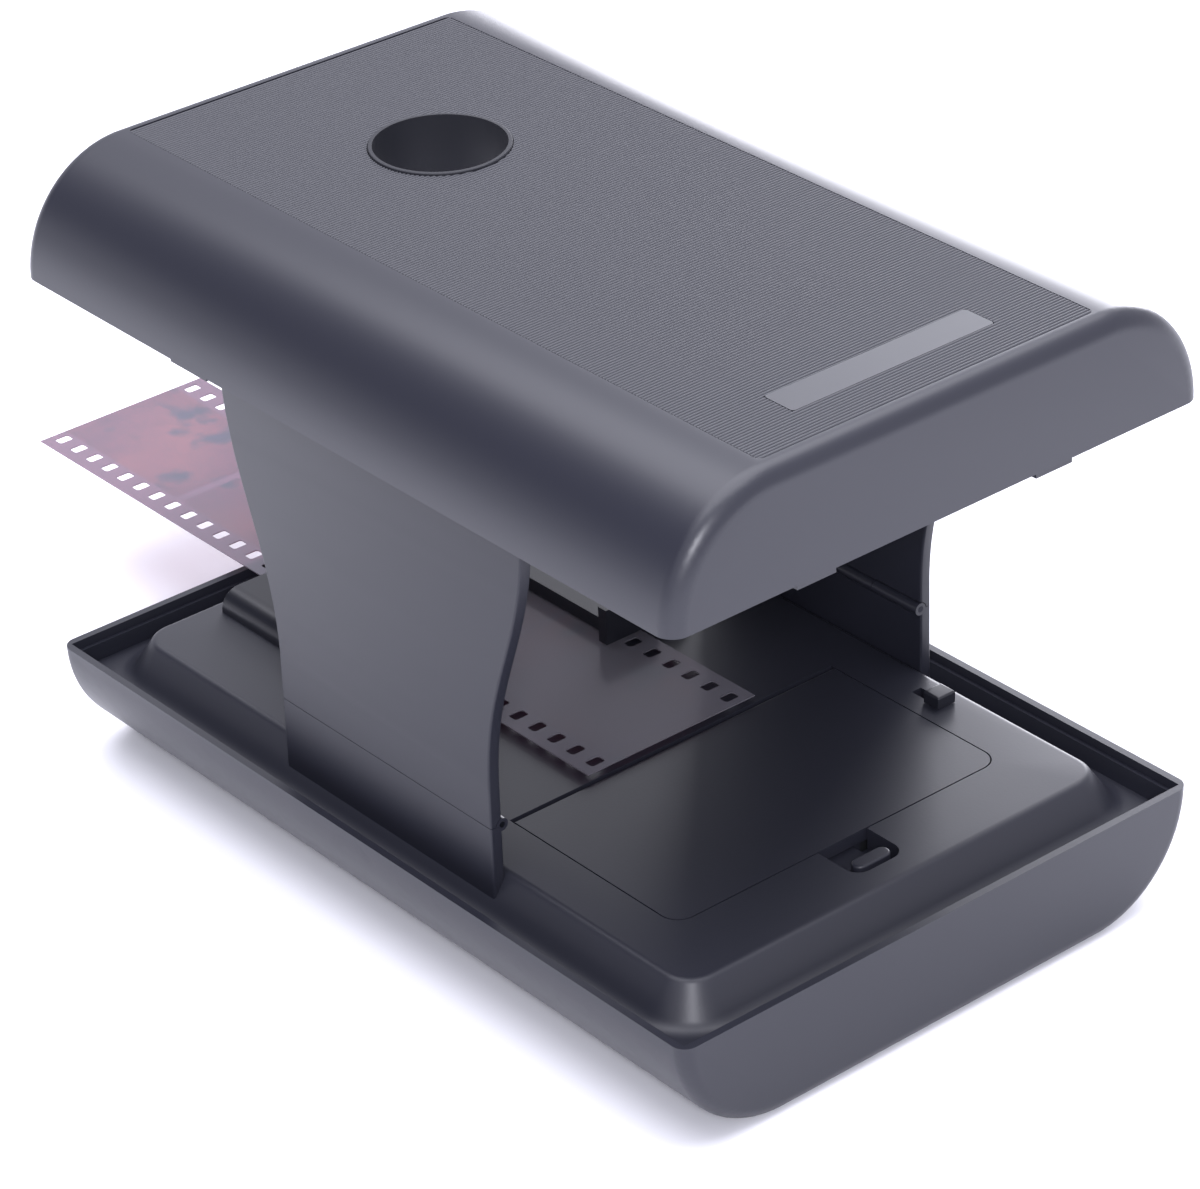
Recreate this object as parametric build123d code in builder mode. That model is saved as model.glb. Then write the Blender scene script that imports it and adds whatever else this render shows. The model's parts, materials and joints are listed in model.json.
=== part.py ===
"""Folding film negative scanner for a phone camera.

A D-section base holds two AA cells, a lit film gate and a sliding power switch. Two side panels
stand on the base and carry a D-section tray with a round camera hole above the film gate.
The panels fold inwards over the deck on pin hinges, and the tray lifts off.

Units are millimetres. X runs across the case, Y along it with the battery door towards -Y and
the film gate towards +Y, and Z points up from the flat underside of the base.
"""

from build123d import *

import math
import os

os.makedirs("parts", exist_ok=True)

# ---------------------------------------------------------------- case
CASE_WALL = 2.0
FLANK = 19.5  # width of each curved flank of the base and the tray
BASE_BELOW_DECK = 2.0  # how far the rim stands below the deck's top
BASE_END_ROUND = 2.5  # rounding from the flanks to the flat ends
RIM_STEP = 0.7  # the wall thins by this much at the rim, on its inner side
RIM_STEP_DEPTH = 1.6
TRAY_EDGE_Z = 88.5  # lower edge of the tray when it stands on the panels
TRAY_DEPTH = 20.0  # lower edge to flat top
TRAY_END_ROUND = 3.2
SEAT_GAP = 0.1  # clearance between mouldings that are set into each other

# ---------------------------------------------------------------- battery door and bay
CELL_RADIUS = 7.25
CELL_BODY = 49.2
CELL_NUB = 1.3
CELL_NUB_RADIUS = 2.75
CELL_EDGE_ROUND = 0.5
CELL_SPARE = 2.0  # free width across both cells
CELL_HEADROOM = 2.7  # from the cells to the door
SPRING_SPACE = 6.5  # free length of the bay past a cell
SPRING_WIRE_RADIUS = 0.3
SPRING_RADIUS = 3.0
SPRING_TURNS = 3
CONTACT_THICKNESS = 0.4
CONTACT_HEIGHT = 11.0
CONTACT_WIDTH = 9.0
BAY_WALL = 1.5
BAY_FLOOR = 0.6
BAY_RIM = 1.2  # thickness of the flange that the door lies on
BAY_RIM_LAP = 1.5  # how far the flange reaches past the door's outline
DOOR_LAP_X = 4.5  # from the bay to the door's sides
DOOR_LAP_Y = 3.95  # from the bay to the door's near and far edges
DOOR_FAR_Y = -16.7
DOOR_THICKNESS = 2.2
DOOR_CORNER = 3.2
DOOR_GAP = 0.25
DOOR_PIN_RADIUS = 0.5
DOOR_PIN_REACH = 1.3  # past the door's side
DOOR_PIN_FIT = 0.04

# ---------------------------------------------------------------- door latch
LATCH_TAB_WIDTH = 7.2
LATCH_TAB_DEPTH = 2.7
LATCH_TAB_TOP = 0.15  # above the deck
LATCH_TAB_ROUND = 0.4
LATCH_TAB_NEAR = 7.9  # from the door's near edge to the tab's near face
LATCH_STEM_WIDTH = 5.6
LATCH_STEM_THICKNESS = 1.0
LATCH_STEM_INSIDE = 5.0  # how far the stem runs under the door
LATCH_SLIDE_FIT = 0.06
LATCH_NOSE = 0.6
LATCH_NOSE_HEIGHT = 1.4
GUIDE_MARGIN = 1.5  # block that the stem runs through, past the stem's sides
GUIDE_NEAR = 0.5  # from the door's near edge to the block
GUIDE_LENGTH = 1.7
GUIDE_FLOOR = 0.5
RECESS_MARGIN = 1.5  # finger recess past the tab's sides
RECESS_LENGTH = 9.0
RECESS_DEPTH = 3.8
RECESS_WALL = 1.2
RECESS_CORNER = 2.6
RECESS_TO_EDGE = 4.4  # from the recess to the deck's near edge

# ---------------------------------------------------------------- power switch
SWITCH_BODY_X = 5.6
SWITCH_BODY_Y = 12.0
SWITCH_BODY_Z = 6.0
SWITCH_CLEARANCE = 0.8  # from the bay's flange to the switch
SWITCH_TO_EDGE = 1.6  # from the switch to the deck's side edge
SWITCH_NEAR_Y = -36.8  # knob centre at rest
SWITCH_TRAVEL = 4.0
SWITCH_SLOT_FIT = 0.2
KNOB_X = 3.8
KNOB_Y = 3.4
KNOB_HEIGHT = 2.2
KNOB_FLOAT = 0.1  # under the knob
KNOB_ROUND = 0.4
STEM_X = 1.6
STEM_Y = 2.4
STEM_DEPTH = 4.4

# ---------------------------------------------------------------- deck
DECK_WALL = 2.0
DECK_CORNER = 5.0
DECK_SLOPE = 56.0  # degrees from the horizontal
DECK_SINK = 4.6  # from the base's rim down to the foot of the slope
DECK_FLANGE = 1.5  # thickness of the ledge round the foot
DECK_EDGE_ROUND = 1.5
FOOT_LEDGE_X = 2.36  # width of the ledge along the sides
FOOT_LEDGE_Y = 3.45  # width of the ledge along the ends
FOOT_ROUND_SHARE = 0.8  # share of the side ledge that the rounding at the foot takes up

# ---------------------------------------------------------------- screws and pads
SCREW_OUT = 3.6  # from the edge of the flat underside
SCREW_TO_END = 18.0
SCREW_RADIUS = 1.25
SCREW_HEAD_RADIUS = 2.4
SCREW_HEAD = 1.4
SCREW_LENGTH = 11.0
SCREW_DRIVE_LENGTH = 2.8
SCREW_DRIVE_WIDTH = 0.6
SCREW_DRIVE_DEPTH = 0.8
SCREW_FIT = 0.05
PILOT_SPARE = 0.5  # pilot hole past the screw's tip
BOSS_RADIUS = 3.0
BOSS_SPLIT_Z = 6.0  # where the base's boss meets the deck's boss
PAD_LENGTH = 14.0
PAD_WIDTH = 6.0
PAD_DEPTH = 0.8
PAD_CORNER = 2.0
PAD_IN = 9.0  # from the edge of the flat underside
PAD_TO_END = 15.0

# ---------------------------------------------------------------- film gate and lamp
FILM_WIDTH = 35.0
FILM_THICKNESS = 0.2
FILM_LENGTH = 152.0
FILM_TO_DOOR = 0.7
FILM_SIDE_FIT = 0.2
FILM_UNDER_FIT = 0.1
FILM_OVER_FIT = 0.4
PERFORATION_PITCH = 4.75
PERFORATION_WIDTH = 2.8
PERFORATION_LENGTH = 1.98
PERFORATION_CORNER = 0.5
PERFORATION_MARGIN = 3.41  # from the film's edge to the centre line of a row
PICTURE_WIDTH = 24.0
PICTURE_LENGTH = 36.0
GATE_TO_EDGE = 3.0  # from the gate's far end to the deck's edge
GATE_FAR_BAR = 11.5  # solid part of the gate on the picture's far side
GATE_NEAR_BAR = 6.8
GATE_SIDE = 10.9  # width of the gate past the film channel
GATE_HEIGHT = 3.9
GATE_ROUND = 3.6
GATE_POST_INNER_X = 9.8
GATE_POST_WIDTH = 11.0
GATE_POST_THICKNESS = 2.0
GATE_POST_HEIGHT = 4.0  # above the gate
LIGHT_PAST_PICTURE = 3.0
LIGHT_UNDER_FILM = 1.5  # the film overlaps the diffuser's opening by this much on each side
DIFFUSER_ABOVE_DECK = 0.7
DIFFUSER_FIT = 0.15
LIGHT_BOX_WALL = 1.5
LIGHT_BOX_FLOOR_Z = 6.0
LIGHT_BOX_RIM = 1.8  # flange round the top, under the deck
LIGHT_BOX_LEDGE = 0.8  # the diffuser stands on this much of the wall's top
BOARD_FIT = 0.3
BOARD_THICKNESS = 1.2
LED_X = 3.5
LED_Y = 2.8
LED_Z = 1.5
LED_COLUMNS = 3
LED_ROWS = 4
LED_PITCH_X = 9.0
LED_PITCH_Y = 9.5

# ---------------------------------------------------------------- side panels
PANEL_OUT = 1.6  # from the deck's top edge to the panels' mid plane
PANEL_THICKNESS = 2.2
PANEL_Y = -1.0  # centre of the panels along the case
PANEL_FOOT_HALF = 26.3
PANEL_HEAD_HALF = 36.9
PANEL_IN_TRAY = 11.0  # how far the panels stand up inside the tray
PANEL_STRAIGHT_LOW = 4.2  # straight sides above the upper hinge
PANEL_STRAIGHT_HIGH = 12.0  # straight sides below the panels' tops
PANEL_CURVE_PULL = 0.42  # share of the curve's height that each end runs straight on
PANEL_EDGE_ROUND = 0.4
FOLD_CLEARANCE = 0.8  # from the gate's post to the folded left panel
FOLD_GAP = 0.4  # between the folded panels
KNUCKLE_COUNT = 5
KNUCKLE_RADIUS = 1.1
KNUCKLE_GAP = 0.12
HINGE_PIN_RADIUS = 0.5
HINGE_PIN_FIT = 0.04
TENON_LENGTH = 8.0
TENON_THICKNESS = 1.4
TENON_BOTTOM_Z = 12.5
TENON_PITCH = 20.0
TENON_FIT = 0.1

# ---------------------------------------------------------------- tray
MAT_THICKNESS = 0.8
MAT_SIDE = 0.4  # from the mat to the edges of the flat top
MAT_END = 3.6  # from the mat to the tray's ends
MAT_CORNER = 1.0
CAMERA_HOLE_RADIUS = 10.8
RING_WALL = 0.7
RING_ABOVE = 0.3
RING_BELOW = 10.0  # from the flat top to the sleeve's lower end
RING_ROUND = 0.2
PLATE_LENGTH = 39.4
PLATE_WIDTH = 6.2
PLATE_TO_END = 14.0
PLATE_DEPTH = 1.0
PLATE_CORNER = 0.6
SEAT_CLEARANCE = 0.1  # between the panels' tops and the tray's seat rails
RAIL_INSIDE = 2.1  # rail past the panel's inner face
RAIL_LIP = 1.5  # rail past the panel's outer face
RAIL_LIP_DROP = 4.0  # lip below the panel's top
RAIL_END = 1.6
RAIL_SIDE_FIT = 0.1
RAIL_END_FIT = 0.3
TAB_WIDTH = 7.4
TAB_DROP = 2.4
TAB_THICKNESS = 1.2
TAB_ROOT = 4.0
TAB_FIT = 0.15
END_TAB_X = 23.5
SIDE_TAB_Y = 37.2
SIDE_TAB_WIDTH = 9.4

# ---------------------------------------------------------------- sizes that follow from the cells
FLOOR_Z = CASE_WALL
BAY_LENGTH = CELL_BODY + CELL_NUB + SPRING_SPACE + 2 * (CONTACT_THICKNESS + SEAT_GAP)
BAY_WIDTH = 4 * CELL_RADIUS + CELL_SPARE
BAY_HALF = BAY_LENGTH / 2
DOOR_WIDTH = BAY_LENGTH + 2 * DOOR_LAP_X
DOOR_LENGTH = BAY_WIDTH + 2 * DOOR_LAP_Y
DOOR_NEAR_Y = DOOR_FAR_Y - DOOR_LENGTH
DOOR_Y = (DOOR_NEAR_Y + DOOR_FAR_Y) / 2
RECESS_WIDTH = LATCH_TAB_WIDTH + 2 * RECESS_MARGIN
RECESS_NEAR_Y = DOOR_NEAR_Y - RECESS_LENGTH
SWITCH_X = DOOR_WIDTH / 2 + BAY_RIM_LAP + SWITCH_CLEARANCE + SWITCH_BODY_X / 2
CELL_Z = FLOOR_Z + BAY_FLOOR + CELL_RADIUS

# ---------------------------------------------------------------- deck and case, round those
DECK_Z = CELL_Z + CELL_RADIUS + CELL_HEADROOM + DOOR_THICKNESS  # top face of the deck
DECK_HALF_X = SWITCH_X + SWITCH_BODY_X / 2 + SWITCH_TO_EDGE
DECK_HALF_Y = RECESS_TO_EDGE - RECESS_NEAR_Y
BASE_HEIGHT = DECK_Z - BASE_BELOW_DECK
DECK_FOOT_Z = BASE_HEIGHT - DECK_SINK
SLOPE = math.tan(math.radians(DECK_SLOPE))
DECK_RUN = (DECK_Z - DECK_FOOT_Z) / SLOPE
DECK_UNDER_Z = DECK_Z - DECK_WALL
SHRINK = DECK_WALL / math.sin(math.radians(DECK_SLOPE))
DECK_FOOT_ROUND = FOOT_ROUND_SHARE * FOOT_LEDGE_X / math.tan(math.radians(DECK_SLOPE / 2))
CAVITY_DEPTH = BASE_HEIGHT - CASE_WALL - SEAT_GAP
FLANK_SHARE = math.sqrt(1 - (DECK_SINK / CAVITY_DEPTH) ** 2)  # of the flank's width, at the foot's height
FLANK_AT_FOOT = (FLANK - CASE_WALL - SEAT_GAP) * FLANK_SHARE
FLAT_HALF = DECK_HALF_X + DECK_RUN + FOOT_LEDGE_X - FLANK_AT_FOOT  # half width of the flat underside
HALF_WIDTH = FLAT_HALF + FLANK
HALF_LENGTH = DECK_HALF_Y + DECK_RUN + FOOT_LEDGE_Y + CASE_WALL + SEAT_GAP
SCREW_X = FLAT_HALF + SCREW_OUT
SCREW_Y = HALF_LENGTH - SCREW_TO_END
PAD_X = FLAT_HALF - PAD_IN
PAD_Y = HALF_LENGTH - PAD_TO_END
SCREW_POINTS = [(x, y) for x in (-SCREW_X, SCREW_X) for y in (-SCREW_Y, SCREW_Y)]
PAD_POINTS = [(x, y) for x in (-PAD_X, PAD_X) for y in (-PAD_Y, PAD_Y)]

# ---------------------------------------------------------------- places inside the base
DOOR_UNDER_Z = DECK_Z - DOOR_THICKNESS
DOOR_AXIS_Y = DOOR_FAR_Y - DOOR_THICKNESS / 2
DOOR_AXIS_Z = DECK_Z - DOOR_THICKNESS / 2
DOOR_PIN_END_X = DOOR_WIDTH / 2 + DOOR_PIN_REACH
BAY_RIM_Z = DOOR_UNDER_Z - SEAT_GAP
BAY_NEAR_Y = DOOR_Y - BAY_WIDTH / 2
BAY_FAR_Y = DOOR_Y + BAY_WIDTH / 2
CELL_SPACING = CELL_SPARE / 3 + 2 * CELL_RADIUS
CELL_YS = (DOOR_Y - CELL_SPACING / 2, DOOR_Y + CELL_SPACING / 2)
CONTACT_FACE = BAY_HALF - CONTACT_THICKNESS
RECESS_FLOOR_Z = DECK_Z - RECESS_DEPTH
STEM_BOTTOM_Z = RECESS_FLOOR_Z + LATCH_SLIDE_FIT
STEM_TOP_Z = STEM_BOTTOM_Z + LATCH_STEM_THICKNESS
GUIDE_WIDTH = LATCH_STEM_WIDTH + 2 * GUIDE_MARGIN
GUIDE_NEAR_Y = DOOR_NEAR_Y + GUIDE_NEAR
GUIDE_FAR_Y = GUIDE_NEAR_Y + GUIDE_LENGTH
TAB_NEAR_Y = DOOR_NEAR_Y - LATCH_TAB_NEAR
TAB_FAR_Y = TAB_NEAR_Y + LATCH_TAB_DEPTH
SWITCH_FAR_Y = SWITCH_NEAR_Y + SWITCH_TRAVEL
SWITCH_Y = (SWITCH_NEAR_Y + SWITCH_FAR_Y) / 2
SLOT_HALF_X = STEM_X / 2 + SWITCH_SLOT_FIT
SLOT_NEAR_Y = SWITCH_NEAR_Y - STEM_Y / 2 - SWITCH_SLOT_FIT
SLOT_FAR_Y = SWITCH_FAR_Y + STEM_Y / 2 + SWITCH_SLOT_FIT

# ---------------------------------------------------------------- film, gate and lamp places
CHANNEL_HALF = FILM_WIDTH / 2 + FILM_SIDE_FIT
PERFORATION_ROWS = FILM_WIDTH - 2 * PERFORATION_MARGIN  # between the two rows' centre lines
FILM_NEAR_Y = DOOR_FAR_Y + FILM_TO_DOOR
DIFFUSER_TOP_Z = DECK_Z + DIFFUSER_ABOVE_DECK
FILM_Z = DIFFUSER_TOP_Z + FILM_UNDER_FIT
FILM_CEILING_Z = FILM_Z + FILM_THICKNESS + FILM_OVER_FIT
GATE_HALF_X = CHANNEL_HALF + GATE_SIDE
GATE_FAR_Y = DECK_HALF_Y - GATE_TO_EDGE
CAMERA_Y = GATE_FAR_Y - GATE_FAR_BAR - PICTURE_LENGTH / 2
GATE_NEAR_Y = CAMERA_Y - PICTURE_LENGTH / 2 - GATE_NEAR_BAR
GATE_BAR_Y = CAMERA_Y + PICTURE_LENGTH / 2
GATE_TOP_Z = DECK_Z + GATE_HEIGHT
GATE_POST_TOP_Z = GATE_TOP_Z + GATE_POST_HEIGHT
LIGHT_HALF_X = FILM_WIDTH / 2 - LIGHT_UNDER_FILM
LIGHT_Y = CAMERA_Y
LIGHT_LENGTH = PICTURE_LENGTH + 2 * LIGHT_PAST_PICTURE
LIGHT_NEAR_Y = LIGHT_Y - LIGHT_LENGTH / 2
LIGHT_FAR_Y = LIGHT_Y + LIGHT_LENGTH / 2
LIGHT_INNER_X = LIGHT_HALF_X - LIGHT_BOX_LEDGE
LIGHT_INNER_LENGTH = LIGHT_LENGTH - 2 * LIGHT_BOX_LEDGE
LIGHT_FLOOR_TOP_Z = LIGHT_BOX_FLOOR_Z + LIGHT_BOX_WALL
BOARD_TOP_Z = LIGHT_FLOOR_TOP_Z + BOARD_THICKNESS

# ---------------------------------------------------------------- panel and tray places
PANEL_HALF = PANEL_THICKNESS / 2
PANEL_X = DECK_HALF_X + PANEL_OUT
PANEL_INNER_X = PANEL_X - PANEL_HALF
PANEL_OUTER_X = PANEL_X + PANEL_HALF
LEFT_FOLD_Z = GATE_POST_TOP_Z + FOLD_CLEARANCE
RIGHT_FOLD_Z = LEFT_FOLD_Z + PANEL_THICKNESS + FOLD_GAP  # so the panels fold one over the other
PANEL_TOP_Z = TRAY_EDGE_Z + PANEL_IN_TRAY
PANEL_CURVE_LOW_Z = RIGHT_FOLD_Z + PANEL_STRAIGHT_LOW
PANEL_CURVE_HIGH_Z = PANEL_TOP_Z - PANEL_STRAIGHT_HIGH
KNUCKLE_LENGTH = 2 * PANEL_FOOT_HALF / KNUCKLE_COUNT
TENON_YS = [PANEL_Y + TENON_PITCH * i for i in (-1, 0, 1)]
TRAY_TOP_Z = TRAY_EDGE_Z + TRAY_DEPTH
MAT_HALF_X = FLAT_HALF - MAT_SIDE
MAT_HALF_Y = HALF_LENGTH - MAT_END
PLATE_Y = PLATE_TO_END - HALF_LENGTH
RING_OUTER = CAMERA_HOLE_RADIUS + RING_WALL
RAIL_INNER_X = PANEL_INNER_X - RAIL_INSIDE
RAIL_OUTER_X = PANEL_OUTER_X + RAIL_LIP
RAIL_LIP_Z = PANEL_TOP_Z - RAIL_LIP_DROP
RAIL_HALF = PANEL_HEAD_HALF + RAIL_END_FIT + RAIL_END
ON_BASE = (Align.CENTER, Align.CENTER, Align.MIN)


def save(part, name):
    """Label a finished piece and write it to its own file."""
    part.label = name
    export_step(part, f"parts/{name}.step")


def box_between(low, high, mode=Mode.ADD):
    """Box in the current part from one corner to the opposite one."""
    size = [abs(b - a) for a, b in zip(low, high)]
    with Locations(tuple((a + b) / 2 for a, b in zip(low, high))):
        return Box(*size, mode=mode)


def rod_along_x(radius, from_x, to_x, y, z, mode=Mode.ADD):
    """Round bar along X in the current part."""
    with Locations(Location(((from_x + to_x) / 2, y, z), (0, 90, 0))):
        return Cylinder(radius, abs(to_x - from_x), mode=mode)


def rod_along_y(radius, x, from_y, to_y, z, mode=Mode.ADD):
    """Round bar along Y in the current part."""
    with Locations(Location((x, (from_y + to_y) / 2, z), (90, 0, 0))):
        return Cylinder(radius, abs(to_y - from_y), mode=mode)


def slope_height(x):
    """Height of the deck's side slope at a distance x from the middle."""
    return DECK_Z - (x - DECK_HALF_X) * SLOPE


def d_section(edge_z, flat_z, inset):
    """Face across the case: a flat, two quarter-ellipse flanks and a chord between their ends."""
    flank_x = FLANK - inset
    flank_z = abs(flat_z - edge_z) - inset
    if flat_z > edge_z:
        flat, right_start, left_start = flat_z - inset, 0, 90
    else:
        flat, right_start, left_start = flat_z + inset, 270, 180
    right, left = (FLAT_HALF, edge_z), (-FLAT_HALF, edge_z)
    with BuildSketch(Plane.XZ) as section:
        with BuildLine():
            Line((-FLAT_HALF, flat), (FLAT_HALF, flat))
            EllipticalCenterArc(right, flank_x, flank_z, right_start, arc_size=90)
            EllipticalCenterArc(left, flank_x, flank_z, left_start, arc_size=90)
            Line((-FLAT_HALF - flank_x, edge_z), (FLAT_HALF + flank_x, edge_z))
        make_face()
    return section.sketch


def end_edges(shape, edge_z):
    """Edges of the two flat ends, except those that lie in the open side."""
    ends = shape.edges().filter_by(lambda e: abs(abs(e.center().Y) - HALF_LENGTH) < 0.01)
    flat = ends.filter_by(lambda e: e.bounding_box().size.Z < 0.01)
    chords = flat.filter_by(lambda e: abs(e.center().Z - edge_z) < 0.01)
    return [edge for edge in ends if edge not in chords]


# ---------------------------------------------------------------- base shell
with BuildPart() as rim_space:
    extrude(
        d_section(BASE_HEIGHT, 0, CASE_WALL - RIM_STEP),
        amount=HALF_LENGTH - CASE_WALL + RIM_STEP,
        both=True,
    )
    box_between(
        (-HALF_WIDTH, -HALF_LENGTH, BASE_HEIGHT - RIM_STEP_DEPTH),
        (HALF_WIDTH, HALF_LENGTH, BASE_HEIGHT),
        mode=Mode.INTERSECT,
    )

with BuildPart() as base_shell:
    extrude(d_section(BASE_HEIGHT, 0, 0), amount=HALF_LENGTH, both=True)
    fillet(end_edges(base_shell.part, BASE_HEIGHT), radius=BASE_END_ROUND)
    extrude(
        d_section(BASE_HEIGHT, 0, CASE_WALL),
        amount=HALF_LENGTH - CASE_WALL,
        both=True,
        mode=Mode.SUBTRACT,
    )
    add(rim_space.part, mode=Mode.SUBTRACT)
    with Locations(*[(x, y, FLOOR_Z) for x, y in SCREW_POINTS]):
        Cylinder(BOSS_RADIUS, BOSS_SPLIT_Z - FLOOR_Z, align=ON_BASE)
    with Locations(*[(x, y, 0) for x, y in SCREW_POINTS]):
        Cylinder(SCREW_RADIUS + SCREW_FIT, BOSS_SPLIT_Z, align=ON_BASE, mode=Mode.SUBTRACT)
        Cylinder(SCREW_HEAD_RADIUS + SEAT_GAP, SCREW_HEAD + SEAT_GAP, align=ON_BASE, mode=Mode.SUBTRACT)
    with BuildSketch(Plane.XY):
        with Locations(*PAD_POINTS):
            RectangleRounded(PAD_LENGTH + 2 * SEAT_GAP, PAD_WIDTH + 2 * SEAT_GAP, PAD_CORNER + SEAT_GAP)
    extrude(amount=PAD_DEPTH, mode=Mode.SUBTRACT)
save(base_shell.part, "base_shell")

with BuildPart() as base_pads:
    with BuildSketch(Plane.XY):
        with Locations(*PAD_POINTS):
            RectangleRounded(PAD_LENGTH, PAD_WIDTH, PAD_CORNER)
    extrude(amount=PAD_DEPTH)
save(base_pads.part, "base_pads")

with BuildPart() as base_screws:
    with Locations(*[(x, y, SEAT_GAP) for x, y in SCREW_POINTS]):
        Cylinder(SCREW_HEAD_RADIUS, SCREW_HEAD, align=ON_BASE)
        Cylinder(SCREW_RADIUS, SCREW_HEAD + SCREW_LENGTH, align=ON_BASE)
        Box(SCREW_DRIVE_LENGTH, SCREW_DRIVE_WIDTH, SCREW_DRIVE_DEPTH, align=ON_BASE, mode=Mode.SUBTRACT)
        Box(SCREW_DRIVE_WIDTH, SCREW_DRIVE_LENGTH, SCREW_DRIVE_DEPTH, align=ON_BASE, mode=Mode.SUBTRACT)
save(base_screws.part, "base_screws")


# ---------------------------------------------------------------- base deck
def deck_sections(low_z, high_z, shrink):
    """The deck's rounded rectangles at two heights, drawn in by a horizontal distance."""
    faces = []
    for z in (low_z, high_z):
        grow = (DECK_Z - z) / SLOPE - shrink
        with BuildSketch(Plane.XY.offset(z)) as level:
            RectangleRounded(
                2 * (DECK_HALF_X + grow),
                2 * (DECK_HALF_Y + grow),
                DECK_CORNER + grow,
            )
        faces.append(level.sketch)
    return faces


def door_outline(gap):
    """The battery door seen from above, grown by a gap all round."""
    with BuildSketch(Plane.XY.offset(DOOR_UNDER_Z)) as outline:
        with Locations((0, DOOR_Y)):
            Rectangle(DOOR_WIDTH + 2 * gap, DOOR_LENGTH + 2 * gap)
        near = outline.vertices().group_by(Axis.Y)[0]
        fillet(near, radius=DOOR_CORNER + gap)
    return outline.sketch


with BuildPart() as base_deck:
    extrude(
        d_section(BASE_HEIGHT, 0, CASE_WALL + SEAT_GAP),
        amount=HALF_LENGTH - CASE_WALL - SEAT_GAP,
        both=True,
    )
    box_between(
        (-HALF_WIDTH, -HALF_LENGTH, DECK_FOOT_Z),
        (HALF_WIDTH, HALF_LENGTH, BASE_HEIGHT),
        mode=Mode.SUBTRACT,
    )
    box_between(
        (-HALF_WIDTH, -HALF_LENGTH, 0),
        (HALF_WIDTH, HALF_LENGTH, DECK_FOOT_Z - DECK_FLANGE),
        mode=Mode.SUBTRACT,
    )
    loft(deck_sections(DECK_FOOT_Z, DECK_Z, 0), ruled=True)
    foot_level = base_deck.edges().filter_by(lambda e: abs(e.center().Z - DECK_FOOT_Z) < 0.01)
    foot_sides = foot_level.filter_by(lambda e: abs(e.center().X) < DECK_HALF_X + DECK_RUN + 0.05)
    foot = foot_sides.filter_by(lambda e: abs(e.center().Y) < DECK_HALF_Y + DECK_RUN + 0.05)
    fillet(foot, radius=DECK_FOOT_ROUND)
    fillet(base_deck.edges().group_by(Axis.Z)[-1], radius=DECK_EDGE_ROUND)
    hollow = deck_sections(DECK_FOOT_Z - DECK_FLANGE, DECK_UNDER_Z, SHRINK)
    loft(hollow, ruled=True, mode=Mode.SUBTRACT)
    with Locations(*[(x, y, BOSS_SPLIT_Z) for x, y in SCREW_POINTS]):
        Cylinder(BOSS_RADIUS, DECK_UNDER_Z - BOSS_SPLIT_Z, align=ON_BASE)
        Cylinder(
            SCREW_RADIUS + SCREW_FIT,
            SEAT_GAP + SCREW_HEAD + SCREW_LENGTH + PILOT_SPARE - BOSS_SPLIT_Z,
            align=ON_BASE,
            mode=Mode.SUBTRACT,
        )
    box_between(
        (-RECESS_WIDTH / 2 - RECESS_WALL, RECESS_NEAR_Y - RECESS_WALL, RECESS_FLOOR_Z - RECESS_WALL),
        (RECESS_WIDTH / 2 + RECESS_WALL, DOOR_NEAR_Y - DOOR_GAP, DECK_UNDER_Z),
    )
    with BuildSketch(Plane.XY.offset(RECESS_FLOOR_Z)) as recess:
        with Locations((0, (RECESS_NEAR_Y + DOOR_NEAR_Y) / 2)):
            Rectangle(RECESS_WIDTH, RECESS_LENGTH)
        fillet(recess.vertices().group_by(Axis.Y)[0], radius=RECESS_CORNER)
    extrude(amount=RECESS_DEPTH, mode=Mode.SUBTRACT)
    extrude(door_outline(DOOR_GAP), amount=DOOR_THICKNESS, mode=Mode.SUBTRACT)
    rod_along_x(
        DOOR_PIN_RADIUS + DOOR_PIN_FIT,
        -DOOR_PIN_END_X - DOOR_PIN_FIT,
        DOOR_PIN_END_X + DOOR_PIN_FIT,
        DOOR_AXIS_Y,
        DOOR_AXIS_Z,
        mode=Mode.SUBTRACT,
    )
    box_between(
        (SWITCH_X - SLOT_HALF_X, SLOT_NEAR_Y, DECK_UNDER_Z),
        (SWITCH_X + SLOT_HALF_X, SLOT_FAR_Y, DECK_Z),
        mode=Mode.SUBTRACT,
    )
    box_between(
        (-LIGHT_HALF_X, LIGHT_NEAR_Y, DECK_UNDER_Z),
        (LIGHT_HALF_X, LIGHT_FAR_Y, DECK_Z),
        mode=Mode.SUBTRACT,
    )
    for side in (-1, 1):
        for y in TENON_YS:
            slot_x = TENON_THICKNESS / 2 + TENON_FIT
            slot_y = TENON_LENGTH / 2 + TENON_FIT
            box_between(
                (side * PANEL_X - slot_x, y - slot_y, TENON_BOTTOM_Z),
                (side * PANEL_X + slot_x, y + slot_y, DECK_Z),
                mode=Mode.SUBTRACT,
            )
save(base_deck.part, "base_deck")

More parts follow.
